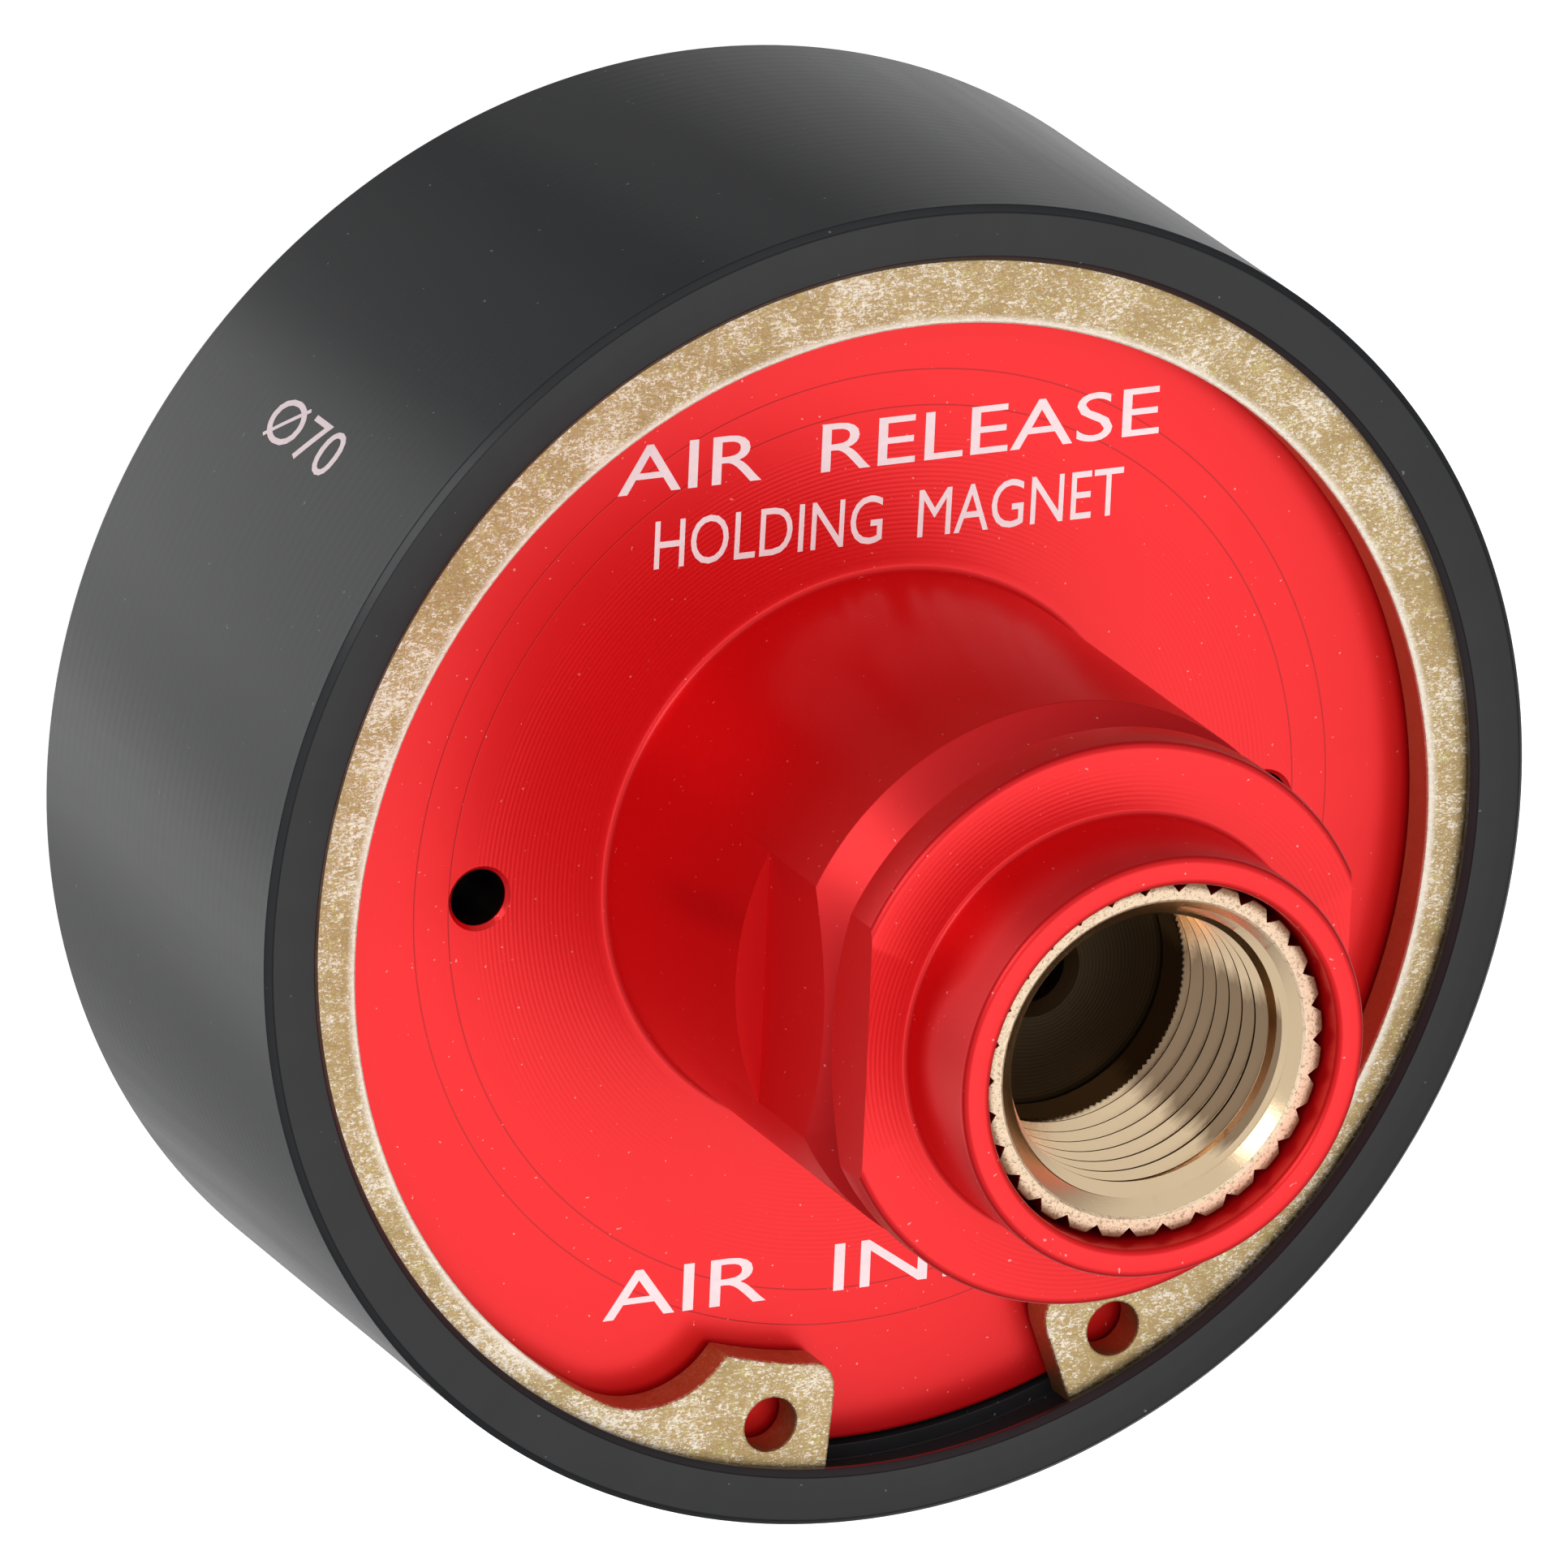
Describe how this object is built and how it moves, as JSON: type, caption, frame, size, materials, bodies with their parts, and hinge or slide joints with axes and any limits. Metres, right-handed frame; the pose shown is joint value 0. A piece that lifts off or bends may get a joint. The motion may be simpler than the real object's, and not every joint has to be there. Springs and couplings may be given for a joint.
{
  "type": "pneumatic magnet holder",
  "caption": "Round air-operated holding magnet: a black cup with a red hub cap, a threaded air port and a sprung magnet piston that lifts off the working face.",
  "frame": {"origin": "centre of the working face, the flat underside that holds on to steel", "axes": "+Z along the hub's axis, from the working face to the air port; +X through a wrench flat, +Y across the flats"},
  "size_m": [0.07, 0.07, 0.0575],
  "materials": {
    "black_anodised": "hard anodised black, satin, turned",
    "red_anodised": "anodised red, satin, with fine turning marks",
    "yellow_zinc": "yellow zinc plating, mottled",
    "brass": "machined, bright",
    "rubber": "matte black",
    "aluminium": "turned, plain",
    "steel": "machined, plain",
    "nickel": "bright nickel plate",
    "black_acetal": "matte black moulding",
    "guide_band": "bronze-filled plastic, matte"
  },
  "bodies": {
    "housing": {"housing": "black_anodised", "grip_pad": "rubber", "end_cap": "red_anodised", "cap_o_ring": "rubber", "retaining_ring": "yellow_zinc", "port_insert": "brass", "air_tube": "steel", "tube_gasket": "rubber", "spring_seat": "steel", "return_spring": "steel", "bumper_ring": "rubber"},
    "magnet_carriage": {"piston": "aluminium", "piston_seal": "rubber", "wear_ring": "guide_band", "tube_seal": "rubber", "back_plate": "steel", "magnet_cage": "black_acetal", "magnet_1": "nickel", "magnet_2": "nickel", "magnet_3": "nickel", "magnet_4": "nickel", "magnet_5": "nickel", "magnet_6": "nickel", "magnet_7": "nickel", "magnet_8": "nickel", "carrier_screw_1": "steel", "carrier_screw_2": "steel", "carrier_screw_3": "steel", "carrier_screw_4": "steel"}
  },
  "joints": [
    {"name": "carriage_slide", "type": "slide", "parent": "housing", "child": "magnet_carriage", "axis": [0, 0, 1], "range_m": [0, 0.0055], "stiffness_N_per_m": 500, "springref_m": -0.02, "deforming": ["return_spring"]}
  ]
}
